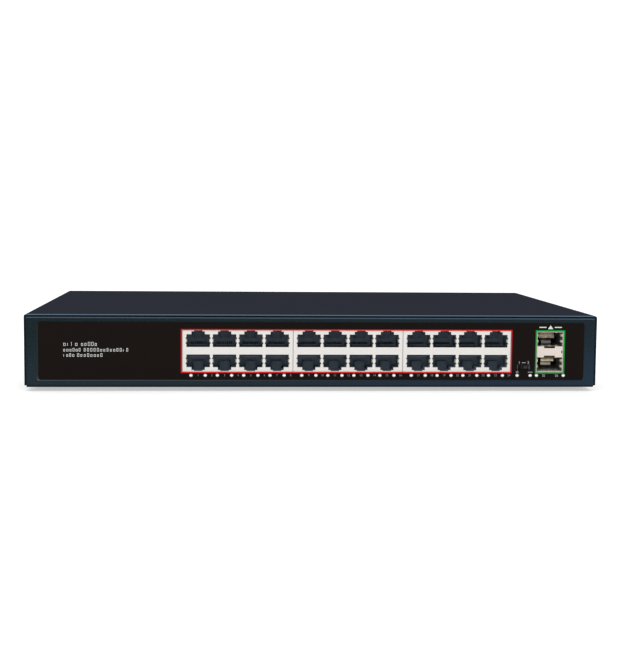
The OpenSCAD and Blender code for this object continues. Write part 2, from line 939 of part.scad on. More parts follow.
// Bobbin, core and the tape around the windings
module psu_transformer() {
    color([0.75, 0.6, 0.2]) at_psu(psu_transformer_at, 0) {
        block([26, 22, 3]);
        translate([0, 3, 3]) block([20, 16, 18]);
        translate([0, 6.5, 1]) block([28, 9, 22]);
    }
}

module psu_bulk_capacitor() {
    color([0.1, 0.1, 0.12]) at_psu(bulk_can_at, 0) can(bulk_can);
}

module psu_output_capacitors() {
    color([0.1, 0.12, 0.3])
        for (x = output_can_x) at_psu([x, output_can_set], 0) can(output_can);
}

module psu_heatsinks() {
    color([0.7, 0.7, 0.72])
        for (x = psu_sink_x) at_psu([x, psu_sink_set], 0) block(psu_sink_size);
}

// One transistor on the inner face of each heatsink
module psu_transistors() {
    color([0.08, 0.08, 0.08])
        for (sink_x = psu_sink_x) {
            x = sink_x - sign(sink_x) * transistor_dx;
            at_psu([x, transistor_set], transistor_lift) block(transistor_size);
            for (i = [-1, 0, 1])
                at_psu([x, transistor_set + transistor_size.y / 2 + i * transistor_pitch - 0.4], 0)
                    block([0.5, 0.8, transistor_lift]);
        }
}

module psu_choke() {
    color([0.65, 0.35, 0.15]) at_psu(choke_at, choke_lift)
        rotate([90, 0, 0]) rotate_extrude() translate([choke_ring[0], 0]) circle(choke_ring[1]);
}

module psu_x_capacitor() {
    color([0.85, 0.7, 0.15]) at_psu(x_cap_at, 0) block(x_cap_size);
}

module psu_fuse() {
    color([0.85, 0.85, 0.85]) at_psu(fuse_at, fuse_lift)
        rotate([0, 90, 0]) cylinder(h = fuse_tube[1], r = fuse_tube[0]);
}

// ---------- rear ----------

// The connector's outline: two chamfered corners on the earth side
module inlet_outline() {
    w = inlet_cavity.x;
    h = inlet_cavity.z;
    c = inlet_chamfer;
    polygon([[-w / 2, 0], [w / 2, 0], [w / 2, h - c], [w / 2 - c, h], [c - w / 2, h], [-w / 2, h - c]]);
}

// Puts children at both inlet screws, with +Z out of the back
module at_inlet_screws(proud) {
    for (side = [-1, 1])
        at_rear(inlet_x + side * inlet_screw_dx, rear_z)
            translate([0, inlet_flange.y + proud, 0]) rotate([-90, 0, 0]) children();
}

// A body behind the panel and a flange with round corners on it
module panel_body(x, size, flange, corner_r) {
    at_rear(x, rear_z - size.z / 2)
        translate([0, -size.y, 0]) block([size.x, size.y + 1, size.z]);
    at_rear(x - flange.x / 2, rear_z - flange.z / 2)
        stand(flange.y) round_rect(flange.x, flange.z, corner_r);
}

// Line, neutral and earth blades with their solder tabs behind
module inlet_blades(extra) {
    for (p = inlet_pin_at)
        at_rear(inlet_x + p.x, rear_z + p.y - inlet_pin.y / 2 - extra)
            translate([0, -inlet_size.y - inlet_tab, 0])
                block([inlet_pin.x + 2 * extra, inlet_size.y + inlet_tab - 1, inlet_pin.y + 2 * extra]);
}

module inlet_body() {
    color([0.07, 0.07, 0.07]) difference() {
        panel_body(inlet_x, inlet_size, inlet_flange, 4);
        at_rear(inlet_x, rear_z - inlet_cavity.z / 2)
            translate([0, inlet_flange.y - inlet_cavity.y, 0]) stand(inlet_cavity.y + 1) inlet_outline();
        at_inlet_screws(eps) countersunk(inlet_screw_head, hole_play);
        inlet_blades(0.02);
    }
}

module inlet_pins() {
    color([0.8, 0.8, 0.78]) inlet_blades(0);
}

module inlet_screws() {
    color([0.75, 0.75, 0.78]) at_inlet_screws(0) difference() {
        countersunk(inlet_screw_head, 0);
        cross_cut(3, 0.5, 0.9);
    }
}

module power_switch_body() {
    cavity_h = 2 * rocker_reach * cos(rocker_corner - rocker_tilt) + 0.6;
    color([0.07, 0.07, 0.07]) {
        difference() {
            panel_body(rocker_x, switch_size, switch_flange, 1);
            at_rear(rocker_x, rear_z - cavity_h / 2)
                translate([0, switch_flange.y - switch_cavity_d, 0])
                    block([rocker_w + 0.6, switch_cavity_d + 1, cavity_h]);
            at_rear(rocker_x - 10, rear_z) translate([0, -rocker_inset, 0])
                rotate([0, 90, 0]) cylinder(h = 20, r = rocker_pin_r + hole_play);
        }
        for (side = [-1, 1])
            at_rear(rocker_x, rear_z + side * switch_tab_dz - switch_tab.z / 2)
                translate([0, 0.5 - switch_size.y - switch_tab.y, 0]) block(switch_tab);
    }
}

module rocker_outline() {
    polygon([[rocker_rise, -rocker_half], [rocker_dip, 0], [rocker_rise, rocker_half],
             [0.6, rocker_half - 0.2], [-3.4, 3], [-3.4, -3], [0.6, 0.2 - rocker_half]]);
}

module power_rocker() {
    color([0.1, 0.1, 0.1]) at_rear(rocker_x, rear_z) translate([0, -rocker_inset, 0])
        rotate([rocker_tilt, 0, 0]) {
            translate([-rocker_w / 2, 0, 0]) rotate([90, 0, 90]) linear_extrude(rocker_w) rocker_outline();
            translate([-rocker_w / 2 - 1, 0, 0]) rotate([0, 90, 0])
                cylinder(h = rocker_w + 2, r = rocker_pin_r);
        }
}

// Line and neutral from the inlet to the power switch and on to the supply's board
module mains_wires() {
    inlet_end = case_d - inlet_size.y - inlet_tab;
    switch_end = case_d - switch_size.y - switch_tab.y + 0.5;
    blade_z = rear_z + inlet_pin_at[0].y;
    tab_z = [rear_z - switch_tab_dz, rear_z + switch_tab_dz];
    landing = psu_set + mains_landing;
    landing_x = [psu_x + mains_landing_dx[0], psu_x + mains_landing_dx[1]];
    color([0.5, 0.3, 0.15]) at(0, 0, 0) {
        wire([[inlet_x + 7, inlet_end, blade_z], [inlet_x + 7, inlet_end - 6, blade_z],
              [rocker_x, inlet_end - 6, tab_z[0]], [rocker_x, switch_end, tab_z[0]]], mains_wire_r);
        wire([[rocker_x, switch_end, tab_z[1]], [rocker_x, inlet_end - 10, tab_z[1]],
              [landing_x[0], inlet_end - 10, tab_z[1]], [landing_x[0], landing, rear_z],
              [landing_x[0], landing, psu_top]], mains_wire_r);
        wire([[inlet_x - 7, inlet_end, blade_z], [inlet_x - 7, inlet_end - 5, blade_z],
              [landing_x[1], landing, blade_z], [landing_x[1], landing, psu_top]], mains_wire_r);
    }
}

module earth_wire() {
    blade_z = rear_z + inlet_pin_at[2].y;
    over = blade_z + earth_wire_rise;
    color([0.4, 0.6, 0.1]) at(0, 0, 0)
        wire([[inlet_x, earth_at.y + 4, blade_z], [inlet_x, earth_at.y, blade_z],
              [inlet_x, earth_at.y, over], [earth_at.x, earth_at.y, over],
              [earth_at.x, earth_at.y, sheet + earth_nut[1]]], mains_wire_r);
}

module earth_screw() {
    color([0.8, 0.7, 0.4])
        at(earth_at.x, earth_at.y, sheet) cylinder(h = earth_nut[1], r = earth_nut[0], $fn = 6);
}

module ground_screw() {
    face = ground_washer[1] + ground_head[1];
    color([0.8, 0.8, 0.78]) at_rear(ground_x, ground_z) rotate([-90, 0, 0]) difference() {
        union() {
            translate([0, 0, -ground_screw_length])
                cylinder(h = ground_screw_length + 1, r = ground_screw_r);
            cylinder(h = ground_washer[1], r = ground_washer[0]);
            translate([0, 0, ground_washer[1]]) cylinder(h = ground_head[1], r = ground_head[0]);
        }
        translate([0, 0, face]) cross_cut(4, 0.7, 1.1);
    }
}

base_tray();
top_cover();
front_label();
cover_screws();
rubber_feet();
board_standoffs();
board_screws();
main_board();
jack_shield_1();
jack_shield_2();
jack_shield_3();
jack_housing_1();
jack_housing_2();
jack_housing_3();
jack_contacts_1();
jack_contacts_2();
jack_contacts_3();
module_cage();
module_cage_divider();
module_cage_fingers();
module_sockets();
light_pipes_1();
light_pipes_2();
light_pipes_3();
light_pipes_status();
board_leds();
mode_switch_frame();
mode_switch_base();
mode_slider();
line_transformers();
phy_chips();
phy_heatsinks();
switch_chip();
switch_heatsink();
flash_chip();
crystal();
power_inductors();
board_capacitors();
dc_headers();
dc_plugs();
dc_wires();
psu_board();
psu_insulator();
psu_transformer();
psu_bulk_capacitor();
psu_output_capacitors();
psu_heatsinks();
psu_transistors();
psu_choke();
psu_x_capacitor();
psu_fuse();
inlet_body();
inlet_pins();
inlet_screws();
power_switch_body();
power_rocker();
mains_wires();
earth_wire();
earth_screw();
ground_screw();
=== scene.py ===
import json
import math
import random

import bmesh
import bpy
from mathutils import Matrix, Vector


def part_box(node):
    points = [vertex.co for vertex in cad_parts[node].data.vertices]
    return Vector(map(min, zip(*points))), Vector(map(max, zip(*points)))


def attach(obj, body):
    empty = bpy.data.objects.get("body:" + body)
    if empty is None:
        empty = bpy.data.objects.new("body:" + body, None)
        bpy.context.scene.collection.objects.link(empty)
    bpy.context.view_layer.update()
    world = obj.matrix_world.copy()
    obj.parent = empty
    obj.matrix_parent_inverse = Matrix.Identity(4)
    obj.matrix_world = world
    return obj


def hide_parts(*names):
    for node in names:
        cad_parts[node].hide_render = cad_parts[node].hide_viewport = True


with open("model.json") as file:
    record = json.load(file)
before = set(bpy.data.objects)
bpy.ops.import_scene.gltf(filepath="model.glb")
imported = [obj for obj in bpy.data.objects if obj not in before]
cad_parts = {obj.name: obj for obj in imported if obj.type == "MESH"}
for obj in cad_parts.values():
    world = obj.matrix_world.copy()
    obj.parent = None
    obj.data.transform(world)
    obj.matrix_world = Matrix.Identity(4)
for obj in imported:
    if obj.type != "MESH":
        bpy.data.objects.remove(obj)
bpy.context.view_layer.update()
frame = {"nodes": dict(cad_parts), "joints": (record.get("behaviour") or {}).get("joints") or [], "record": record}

MM = 0.001
CHASSIS = "chassis"
ROCKER = "power_rocker_body"
MOUNTS = {m["name"]: m for m in frame["record"]["mounts"]}
JOINTS = {j["name"]: j for j in frame["joints"]}
SLOT_OF = {s["node"]: s["material_slot"] for s in frame["record"]["subparts"]}

# Corners of the nodes that everything else is placed from
TRAY_LOW, TRAY_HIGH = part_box("base_tray")
COVER_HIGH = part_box("top_cover")[1]
LABEL_LOW, LABEL_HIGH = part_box("front_label")
SHIELD_LOW, SHIELD_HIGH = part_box("jack_shield_1")
CAGE_LOW, CAGE_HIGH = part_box("module_cage")
DIVIDER_LOW, DIVIDER_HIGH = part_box("module_cage_divider")
PIPE_FRONT_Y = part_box("light_pipes_1")[0].y
FACE_Y = TRAY_LOW.y
REAR_Y = TRAY_HIGH.y
UNDER_Z = TRAY_LOW.z


def under(height_mm):
    """Z of a height above the case's underside."""
    return UNDER_Z + height_mm * MM


ROW_MIDDLE = under(22.38)                       # between the two rows of jacks
CAGE_X = (CAGE_LOW.x + CAGE_HIGH.x) / 2
CAGE_WALL = 0.5 * MM
JACK_COLUMNS = [MOUNTS[f"copper_jack_{odd:02d}"]["pos_m"][0] for odd in range(1, 25, 2)]

# Places on the front: X from the middle of the case, Z as heights above its underside, in millimetres
LIGHT_Z = 7.39
LIGHT_HALF = 4.33                               # from a jack column's middle to each of its two lights
STATUS_X = {"power": 125.69, "system": 133.86, "slot_a": 137.82, "slot_b": 154.58}


# ---------- scene: camera, light, floor ----------

# The camera in the case's own frame, in millimetres from the middle of the lower front edge
CAMERA_PLACE = (-53.98, -796.21, 108.48)
CAMERA_TURN = (5.4754, -3.7802, 0.1398)         # pitch, yaw and roll in degrees
SENSOR_WIDTH = 36                               # mm, along the picture's long side
CAMERA_FOCAL = 70.65                            # mm

# The studio, in metres and watts
WORLD_STRENGTH = 1.05
PANEL_SIZE = (1.4, 0.7)
PANELS = {"key": ((-0.35, -0.8, 1.5), 9), "rear": ((0.3, 0.9, 1.4), 6)}
FLOOR_REACH = 40.0
FLOOR_GLOW = 0.5                                # keeps the case's shadow pale


def make_camera():
    pitch, yaw, roll = (math.radians(a) for a in CAMERA_TURN)
    level = Matrix(((1, 0, 0), (0, 0, -1), (0, 1, 0)))
    tilt = Matrix.Rotation(yaw, 3, "Y") @ Matrix.Rotation(pitch, 3, "X")
    right, down, ahead = Matrix.Rotation(roll, 3, "Z") @ tilt @ level
    pose = Matrix((right, -down, -ahead)).transposed().to_4x4()
    x, y, z = CAMERA_PLACE
    pose.translation = Vector((x * MM, FACE_Y + y * MM, under(z)))
    data = bpy.data.cameras.new("camera")
    data.sensor_width = SENSOR_WIDTH
    data.lens = CAMERA_FOCAL
    data.clip_start = 0.01
    data.clip_end = 100
    camera = bpy.data.objects.new("camera", data)
    camera.matrix_world = pose
    bpy.context.scene.collection.objects.link(camera)
    bpy.context.scene.camera = camera


def area_light(name, place, power):
    """A soft panel that shines at the middle of the floor."""
    data = bpy.data.lights.new(name, "AREA")
    data.shape = "RECTANGLE"
    data.size, data.size_y = PANEL_SIZE
    data.energy = power
    light = bpy.data.objects.new(name, data)
    light.location = place
    light.rotation_euler = (-Vector(place)).to_track_quat("-Z", "Y").to_euler()
    bpy.context.scene.collection.objects.link(light)


def make_light():
    world = bpy.data.worlds.new("studio")
    world.use_nodes = True
    background = world.node_tree.nodes["Background"]
    background.inputs["Color"].default_value = (1, 1, 1, 1)
    background.inputs["Strength"].default_value = WORLD_STRENGTH
    bpy.context.scene.world = world
    for name, (place, power) in PANELS.items():
        area_light(name, place, power)


def make_floor():
    corners = [(x * FLOOR_REACH, y * FLOOR_REACH, 0) for x, y in ((-1, -1), (1, -1), (1, 1), (-1, 1))]
    mesh = bpy.data.meshes.new("floor")
    mesh.from_pydata(corners, [], [(0, 1, 2, 3)])
    floor = link("floor", mesh)
    shader = mottled("pale_floor", (0.52, 0.52, 0.52), 0.9, specular=0.0, grain_mm=3, contrast=0.01)
    shader.inputs["Emission Color"].default_value = (1, 1, 1, 1)
    shader.inputs["Emission Strength"].default_value = FLOOR_GLOW
    dress(floor, "pale_floor")


# ---------- materials: building blocks ----------

# Sockets of the colour form of the Mix node, whose names repeat
MIX_FACTOR, MIX_FIRST, MIX_SECOND, MIX_RESULT = 0, 6, 7, 2
EVEN = (1, 1, 1)
ROLLED = (1, 1, 14)                             # squeezes the grain in Z, so that its marks run level
ROLLED_DEEP = (1, 14, 1)                        # the same in Y
CLOUD_RATIO = 14                                # how much wider than the grain the roughness drifts
MATERIALS = {}


def new_material(name, colour, roughness, metallic=0.0, specular=0.5):
    material = bpy.data.materials.new(name)
    material.use_nodes = True
    shader = material.node_tree.nodes["Principled BSDF"]
    shader.inputs["Base Color"].default_value = (*colour, 1)
    shader.inputs["Roughness"].default_value = roughness
    shader.inputs["Metallic"].default_value = metallic
    shader.inputs["Specular IOR Level"].default_value = specular
    MATERIALS[name] = material
    return material.node_tree, shader


def noise(tree, size_mm, detail=3.0, stretch=EVEN):
    """Noise in the object's own metres, whose cells are about size_mm across before stretch."""
    place = tree.nodes.new("ShaderNodeTexCoord")
    scale = tree.nodes.new("ShaderNodeMapping")
    scale.inputs["Scale"].default_value = stretch
    tree.links.new(place.outputs["Object"], scale.inputs["Vector"])
    texture = tree.nodes.new("ShaderNodeTexNoise")
    texture.inputs["Scale"].default_value = 1 / (size_mm * MM)
    texture.inputs["Detail"].default_value = detail
    tree.links.new(scale.outputs["Vector"], texture.inputs["Vector"])
    return texture.outputs["Fac"]


def spread(tree, value, low, high, start=0.3, end=0.7, smooth=False):
    """Maps value from start..end to low..high, and holds it there outside."""
    node = tree.nodes.new("ShaderNodeMapRange")
    if smooth:
        node.interpolation_type = "SMOOTHSTEP"
    node.inputs["From Min"].default_value = start
    node.inputs["From Max"].default_value = end
    node.inputs["To Min"].default_value = low
    node.inputs["To Max"].default_value = high
    tree.links.new(value, node.inputs["Value"])
    return node.outputs["Result"]


def along(tree, axis, start, end):
    """0 to 1 from start to end along the object's X, Y or Z, in metres. end may be the lower one."""
    place = tree.nodes.new("ShaderNodeTexCoord")
    split = tree.nodes.new("ShaderNodeSeparateXYZ")
    tree.links.new(place.outputs["Object"], split.inputs["Vector"])
    return spread(tree, split.outputs[axis], 0, 1, start, end, smooth=True)


def times(tree, first, second):
    """The product of two nodes' outputs."""
    node = tree.nodes.new("ShaderNodeMath")
    node.operation = "MULTIPLY"
    tree.links.new(first, node.inputs[0])
    tree.links.new(second, node.inputs[1])
    return node.outputs["Value"]


def band(tree, axis, low, high, soft):
    """1 from low to high along one axis, and 0 further than soft outside them, in metres."""
    return times(tree, along(tree, axis, low - soft, low), along(tree, axis, high + soft, high))


def mixed(tree, factor, first, second):
    """A mix of two colours, each given as a colour or as another node's output."""
    node = tree.nodes.new("ShaderNodeMix")
    node.data_type = "RGBA"
    for index, value in ((MIX_FACTOR, factor), (MIX_FIRST, first), (MIX_SECOND, second)):
        if isinstance(value, bpy.types.NodeSocket):
            tree.links.new(value, node.inputs[index])
        elif index == MIX_FACTOR:
            node.inputs[index].default_value = value
        else:
            node.inputs[index].default_value = (*value, 1)
    return node.outputs[MIX_RESULT]


def bump(tree, shader, value, depth_mm):
    node = tree.nodes.new("ShaderNodeBump")
    node.inputs["Distance"].default_value = depth_mm * MM
    node.inputs["Strength"].default_value = 1.0
    tree.links.new(value, node.inputs["Height"])
    tree.links.new(node.outputs["Normal"], shader.inputs["Normal"])


def shade(colour, factor):
    return tuple(min(1.0, c * factor) for c in colour)


def finish_surface(tree, shader, colour, grain, roughness, swing, cloud_mm, depth_mm, stretch=EVEN):
    """Links a colour, a roughness that drifts over cloud_mm and a bump from the grain."""
    tree.links.new(colour, shader.inputs["Base Color"])
    cloud = noise(tree, cloud_mm, 2.0, stretch)
    tree.links.new(spread(tree, cloud, roughness - swing, roughness + swing), shader.inputs["Roughness"])
    bump(tree, shader, grain, depth_mm)


# ---------- materials ----------

def mottled(name, colour, roughness, metallic=0.0, specular=0.5, grain_mm=0.5, contrast=0.15,
            depth_mm=0.02, swing=0.08, stretch=EVEN, detail=3.0):
    """A solid material whose colour, roughness and surface vary over a fine grain."""
    tree, shader = new_material(name, colour, roughness, metallic, specular)
    grain = noise(tree, grain_mm, detail, stretch)
    tone = mixed(tree, spread(tree, grain, 0, 1), shade(colour, 1 - contrast), shade(colour, 1 + contrast))
    cloud_mm = CLOUD_RATIO * grain_mm
    finish_surface(tree, shader, tone, grain, roughness, swing, cloud_mm, depth_mm, stretch)
    return shader


def satin_metal(name, colour, roughness, metallic=1.0, brush=ROLLED):
    """Plated sheet with fine rolling marks along one way."""
    mottled(name, colour, roughness, metallic, grain_mm=1.6, contrast=0.05, depth_mm=0.004, swing=0.07,
            stretch=brush, detail=5.0)


def jack_plastic():
    """Dark blue-grey plastic with painted light and shade: painted lighter on the lower row and on the back wall,
    and a painted shadow at the foot of the combs.

    The combs lie on both sides of the middle of the two rows.
    """
    upper, lower = (0.062, 0.085, 0.107), (0.088, 0.116, 0.145)
    lit_back_wall = (0.135, 0.178, 0.222)
    speck = (0.055, 0.075, 0.095)
    comb_foot_shadow = (0.010, 0.013, 0.016)
    roughness = 0.42
    tree, shader = new_material("jack_plastic", lower, roughness, specular=0.12)
    grain = noise(tree, 0.2)
    # painted shade on the upper row, painted light on the lower one
    tone = mixed(tree, along(tree, "Z", ROW_MIDDLE, ROW_MIDDLE - 2 * MM), upper, lower)
    # painted light on the back wall
    tone = mixed(tree, along(tree, "Y", FACE_Y + 10 * MM, FACE_Y + 12.5 * MM), tone, lit_back_wall)
    tone = mixed(tree, spread(tree, grain, 0.0, 0.3), tone, speck)
    # painted shadow at the foot of the combs, just inside the mouths
    level = band(tree, "Z", ROW_MIDDLE - 3.0 * MM, ROW_MIDDLE + 3.1 * MM, soft=0.4 * MM)
    ahead = along(tree, "Y", FACE_Y + 4.5 * MM, FACE_Y + 3.5 * MM)
    tone = mixed(tree, times(tree, level, ahead), tone, comb_foot_shadow)
    finish_surface(tree, shader, tone, grain, roughness, swing=0.08, cloud_mm=3, depth_mm=0.006)


def cage_metal(name, mouth, deep, start_mm, end_mm):
    """Plating with one colour at the mouth of the cage and another from end_mm inwards, mottled with stains: the
    change with depth is painted light and shade.
    """
    roughness = 0.4
    tree, shader = new_material(name, deep, roughness, metallic=0.3)
    grain = noise(tree, 1.6, 5.0, ROLLED)
    stains = noise(tree, 2.2)
    depth = along(tree, "Y", FACE_Y + start_mm * MM, FACE_Y + end_mm * MM)
    painted_depth_and_stains = mixed(tree, spread(tree, stains, 0, 1), shade(deep, 0.6), shade(deep, 1.5))
    tone = mixed(tree, depth, mouth, painted_depth_and_stains)
    finish_surface(tree, shader, tone, grain, roughness, swing=0.08, cloud_mm=12, depth_mm=0.004)


# The painted highlight that shows round the overlay
RIM = 0.45 * MM
RIM_SOFT = RIM / 4
# top of the painted highlight round the overlay, and where the paint's painted light and shade start
RIM_TOP = under(38)
RIM_END_X = 100 * MM                            # where it has faded out on the right
FOLD_Z = COVER_HIGH.z - 1.85 * MM               # the tray's upper fold, below the cover's edge, where a highlight is painted


def label_rim_highlight(tree):
    """1 on the painted highlight at the overlay's sides and foot, fading to the right, on the front face only."""
    across = band(tree, "X", LABEL_LOW.x - RIM, LABEL_HIGH.x + RIM, RIM_SOFT)
    upward = band(tree, "Z", LABEL_LOW.z - RIM, RIM_TOP, RIM_SOFT)
    fading = along(tree, "X", RIM_END_X, TRAY_LOW.x)
    on_front = along(tree, "Y", FACE_Y + 2 * MM, FACE_Y + 1 * MM)
    return times(tree, times(tree, times(tree, across, upward), fading), on_front)


def case_paint():
    """Blue-grey texture paint on the tray, with painted light and shade: darker at the top, lighter and bluer
    below and to the right, a painted highlight round the overlay and on the upper fold, and painted shade at the
    foot.
    """
    upper_left, upper_right = (0.0052, 0.0122, 0.0150), (0.0080, 0.0160, 0.0205)
    lower_left, lower_right = (0.0118, 0.0212, 0.0275), (0.0140, 0.0270, 0.0460)
    light_grain, dark_grain = (0.028, 0.043, 0.062), (0.0025, 0.0050, 0.0080)
    side_rim_highlight, low_rim_highlight = (0.020, 0.027, 0.022), (0.060, 0.078, 0.084)
    lit_fold = (0.070, 0.110, 0.145)
    foot_shade = (0.0035, 0.0080, 0.0140)
    roughness = 0.52
    tree, shader = new_material("case_paint", lower_left, roughness, specular=0.05)
    # painted light and shade: darker at the top, lighter and bluer towards the foot and the right
    across = along(tree, "X", TRAY_LOW.x, TRAY_HIGH.x)
    upper = mixed(tree, across, upper_left, upper_right)
    lower = mixed(tree, across, lower_left, lower_right)
    tone = mixed(tree, along(tree, "Z", RIM_TOP, UNDER_Z), upper, lower)
    grain = noise(tree, 0.6, 4.0)
    tone = mixed(tree, spread(tree, grain, 0.0, 0.6, start=0.48, end=0.72), tone, light_grain)
    tone = mixed(tree, spread(tree, grain, 0.55, 0.0, start=0.28, end=0.5), tone, dark_grain)
    # painted highlight round the overlay
    rim_highlight_tone = mixed(tree, along(tree, "Z", under(8), under(5)), side_rim_highlight, low_rim_highlight)
    tone = mixed(tree, label_rim_highlight(tree), tone, rim_highlight_tone)
    # painted highlight on the tray's upper fold
    fold = band(tree, "Z", FOLD_Z - 0.1 * MM, FOLD_Z + 0.1 * MM, soft=0.5 * MM)
    tone = mixed(tree, fold, tone, lit_fold)
    # painted shade at the foot of the case
    tone = mixed(tree, along(tree, "Z", under(2.2), UNDER_Z), tone, foot_shade)
    texture = noise(tree, 0.35, 2.0)
    finish_surface(tree, shader, tone, texture, roughness, swing=0.06, cloud_mm=35, depth_mm=0.02)


def cover_paint():
    """Fine dark paint on the cover, with a painted highlight along the top of its front edge and painted shade
    below that.
    """
    paint = (0.0185, 0.0208, 0.0288)
    edge_shade = (0.007, 0.013, 0.020)
    edge_highlight = (0.095, 0.140, 0.190)
    roughness = 0.6
    broad_share = 0.3
    tree, shader = new_material("cover_paint", paint, roughness, specular=0.0)
    grain = noise(tree, 0.5, 4.0)
    clouds = noise(tree, 60, 2.0)
    fine = mixed(tree, spread(tree, grain, 0, 1), shade(paint, 0.88), shade(paint, 1.12))
    broad = mixed(tree, spread(tree, clouds, 0, 1), shade(paint, 0.96), shade(paint, 1.04))
    # painted shade on the cover's front edge
    front = along(tree, "Y", FACE_Y + 0.45 * MM, FACE_Y + 0.2 * MM)
    tone = mixed(tree, front, mixed(tree, broad_share, fine, broad), edge_shade)
    # painted highlight along the top of the front edge
    edge_highlight_mask = times(tree, front, along(tree, "Z", COVER_HIGH.z - 0.55 * MM, COVER_HIGH.z - 0.4 * MM))
    tone = mixed(tree, edge_highlight_mask, tone, edge_highlight)
    finish_surface(tree, shader, tone, grain, roughness, swing=0.06, cloud_mm=40, depth_mm=0.015)


def case_materials():
    case_paint()
    cover_paint()
    mottled("overlay", (0.0068, 0.0045, 0.0037), 0.42, specular=0.04, grain_mm=0.25, contrast=0.1,
            depth_mm=0.004)
    satin_metal("dark_screw", (0.05, 0.05, 0.055), 0.4, 0.8, EVEN)
    satin_metal("plated_steel", (0.50, 0.49, 0.47), 0.3)
    mottled("rubber", (0.018, 0.018, 0.018), 0.8, specular=0.3, grain_mm=0.6, depth_mm=0.03)
    mottled("black_plastic", (0.014, 0.014, 0.015), 0.45, specular=0.3, grain_mm=0.25, depth_mm=0.008)
    mottled("pipe_clear", (0.80, 0.80, 0.80), 0.25, specular=0.2, grain_mm=0.8, contrast=0.03,
            depth_mm=0.002)
    # pipe_rim: painted shade round the edge of each light pipe's nose
    mottled("pipe_rim", (0.16, 0.16, 0.17), 0.3, specular=0.2, grain_mm=0.8, depth_mm=0.002)


def jack_and_cage_materials():
    jack_plastic()
    # near black: painted shade on the contacts deep in the jacks' mouths
    satin_metal("contact_gold", (0.020, 0.018, 0.015), 0.5, 0.5)
    satin_metal("switch_tin", (0.085, 0.110, 0.155), 0.4, 0.3)
    satin_metal("shield_nickel", (0.665, 0.645, 0.62), 0.42, 0.2)
    satin_metal("spring_brass", (0.72, 0.62, 0.42), 0.35, 0.5)
    satin_metal("divider_nickel", (0.635, 0.565, 0.505), 0.42, 0.2)
    # painted light: cage_steel lighter deep inside the cage than at its mouth
    cage_metal("cage_steel", (0.62, 0.57, 0.50), (0.74, 0.71, 0.65), 1.6, 3.4)
    # painted shade on the inside of the cage's right wall, darker deeper in
    cage_metal("cage_wall", (0.50, 0.46, 0.40), (0.13, 0.13, 0.12), 1.2, 3.6)
    # painted shade inside the divider
    cage_metal("divider_inside_shade", (0.42, 0.37, 0.31), (0.20, 0.20, 0.19), 6.0, 9.5)
    # painted shade on the faces seen through the divider's notches
    mottled("divider_edge_shade", (0.020, 0.013, 0.010), 0.6)
    mottled("latch_spring", (0.62, 0.54, 0.36), 0.4, 0.3, grain_mm=1.4, contrast=0.35)
    mottled("latch_shadowed", (0.30, 0.24, 0.17), 0.4, 0.3, grain_mm=1.4, contrast=0.5)
    mottled("latch_back", (0.62, 0.57, 0.48), 0.4, 0.2, grain_mm=1.4, contrast=0.2)
    mottled("latch_back_shadowed", (0.30, 0.32, 0.31), 0.4, 0.2, grain_mm=1.4, contrast=0.2)


WIRES = {
    "wire_red": (0.45, 0.02, 0.02),
    "wire_brown": (0.2, 0.07, 0.02),
    "wire_green": (0.15, 0.36, 0.03),
}


def inner_materials():
    """What the boards, their parts and the wires inside the case are made of."""
    mottled("board_green", (0.012, 0.09, 0.035), 0.35, grain_mm=1.0, contrast=0.3)
    mottled("board_tan", (0.32, 0.2, 0.07), 0.6, grain_mm=0.8, contrast=0.2)
    mottled("chip_epoxy", (0.016, 0.016, 0.017), 0.6, grain_mm=0.2, contrast=0.2)
    satin_metal("sink_black", (0.06, 0.06, 0.07), 0.45, 0.7, ROLLED_DEEP)
    satin_metal("sink_plain", (0.7, 0.7, 0.72), 0.35)
    mottled("can_sleeve", (0.015, 0.02, 0.07), 0.3, grain_mm=1.5)
    mottled("header_nylon", (0.78, 0.75, 0.66), 0.45, grain_mm=0.6, contrast=0.05)
    for name, colour in WIRES.items():
        mottled(name, colour, 0.4, grain_mm=0.8)
    mottled("insulator", (0.72, 0.72, 0.66), 0.35, grain_mm=2, contrast=0.05)
    mottled("tape_yellow", (0.68, 0.47, 0.05), 0.3, grain_mm=1.2)
    satin_metal("copper_coil", (0.6, 0.22, 0.08), 0.3, 0.9, EVEN)
    mottled("glass_fuse", (0.8, 0.85, 0.85), 0.1, grain_mm=1, contrast=0.03, depth_mm=0.001)


# Each ink's colour and how much it varies
INKS = {
    "print_white": ((0.62, 0.62, 0.61), 0.05),
    "print_grey": ((0.23, 0.23, 0.23), 0.08),
    "print_silver": ((0.36, 0.36, 0.36), 0.08),
    "print_red": ((0.60, 0.006, 0.008), 0.06),
    "print_green": ((0.004, 0.26, 0.035), 0.06),
}


def ink_materials():
    for name, (colour, contrast) in INKS.items():
        mottled(name, colour, 0.5, specular=0.1, grain_mm=0.3, contrast=contrast, depth_mm=0.003)


# ---------- pieces ----------

SEAM = 0.002 * MM                               # CAD seams narrower than this are welded
WELD = 0.0005 * MM                              # the same for the pieces made here
FLAT_ANGLE = math.radians(0.5)                  # faces that meet flatter than this become one
BEVEL_ANGLE = math.radians(32)                  # edges sharper than this are rounded
SMOOTH_ANGLE = math.radians(40)                 # edges sharper than this stay sharp in the shading


def dress(thing, *materials):
    """Gives a thing its materials, in the order that its faces count them."""
    thing.data.materials.clear()
    for material in materials:
        thing.data.materials.append(MATERIALS[material])


def link(name, mesh):
    thing = bpy.data.objects.new(name, mesh)
    bpy.context.scene.collection.objects.link(thing)
    return thing


def dress_cad_nodes():
    for name, thing in frame["nodes"].items():
        dress(thing, SLOT_OF[name])
    dress(frame["nodes"]["mode_switch_frame"], "switch_tin")


